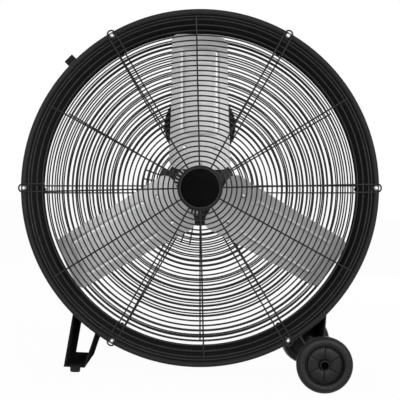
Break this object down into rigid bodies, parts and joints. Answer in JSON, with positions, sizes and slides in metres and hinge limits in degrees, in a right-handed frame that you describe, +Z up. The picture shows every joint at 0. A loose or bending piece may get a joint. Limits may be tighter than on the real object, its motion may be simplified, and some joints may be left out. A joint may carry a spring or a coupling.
{
  "type": "drum fan",
  "caption": "Portable drum fan: round steel duct with a wire guard on each face, pitched sheet blades on a rear-mounted motor, fixed carry handle, rolling wheels and a rubber-footed leg.",
  "frame": {"origin": "on the floor, under the middle of the hub axis and of the drum's depth", "axes": "+Z up, -Y the way the air blows out of the front guard, +X towards the wheels"},
  "size_m": [0.6692, 0.342, 0.6876],
  "materials": {
    "drum_paint": "satin black powder coat",
    "guard_paint": "satin black powder coat on wire",
    "frame_paint": "satin black powder coat",
    "motor_paint": "semi-gloss black",
    "cap_plastic": "satin",
    "control_plastic": "fine grain",
    "knob_plastic": "satin",
    "grey_plastic": "satin",
    "wheel_plastic": "moulded",
    "tyre_rubber": "matt",
    "foot_rubber": "matt",
    "blade_aluminium": "mill finish",
    "spider_steel": "zinc plated",
    "rivet_steel": "plain",
    "zinc_steel": "zinc plated",
    "black_steel": "black oxide",
    "axle_steel": "plain rod",
    "bearing_steel": "ground",
    "core_steel": "laminated",
    "copper_wire": "varnished"
  },
  "bodies": {
    "drum": {"drum_shell": "drum_paint", "front_guard_ribs": "guard_paint", "front_guard_rings": "guard_paint", "rear_guard_ribs": "guard_paint", "rear_guard_rings": "guard_paint", "guard_screws": "zinc_steel", "centre_cap": "cap_plastic", "motor_mount_plate": "motor_paint", "motor_can": "motor_paint", "motor_front_shield": "motor_paint", "stator_core": "core_steel", "stator_windings": "copper_wire", "motor_bearings": "bearing_steel", "motor_bolts": "zinc_steel", "capacitor_box": "grey_plastic", "handle": "frame_paint", "handle_bolts": "black_steel", "leg_bracket": "frame_paint", "bracket_bolts": "black_steel", "rubber_feet": "foot_rubber", "axle_bracket": "frame_paint", "axle": "axle_steel", "axle_caps": "cap_plastic", "axle_spacers": "wheel_plastic", "control_housing": "control_plastic", "control_cover": "control_plastic", "speed_switch": "grey_plastic", "cable_gland": "control_plastic"},
    "rotor": {"motor_shaft": "bearing_steel", "rotor_core": "core_steel", "spider": "spider_steel", "blade_1": "blade_aluminium", "blade_2": "blade_aluminium", "blade_3": "blade_aluminium", "blade_rivets": "rivet_steel"},
    "front_wheel": {"front_wheel_disc": "wheel_plastic", "front_tyre": "tyre_rubber"},
    "rear_wheel": {"rear_wheel_disc": "wheel_plastic", "rear_tyre": "tyre_rubber"},
    "knob": {"speed_knob": "knob_plastic"}
  },
  "joints": [
    {"name": "rotor_spin", "type": "hinge", "parent": "drum", "child": "rotor", "pos_m": [0, 0, 0.357], "axis": [0, 1, 0], "continuous": true},
    {"name": "front_wheel_spin", "type": "hinge", "parent": "drum", "child": "front_wheel", "pos_m": [0.2377, -0.149, 0.051], "axis": [0, 1, 0], "continuous": true},
    {"name": "rear_wheel_spin", "type": "hinge", "parent": "drum", "child": "rear_wheel", "pos_m": [0.2377, 0.149, 0.051], "axis": [0, 1, 0], "continuous": true},
    {"name": "speed_knob_turn", "type": "hinge", "parent": "drum", "child": "knob", "pos_m": [-0.00633, 0.16, 0.48885], "axis": [0, -1, 0], "range_deg": [0, 135]}
  ]
}
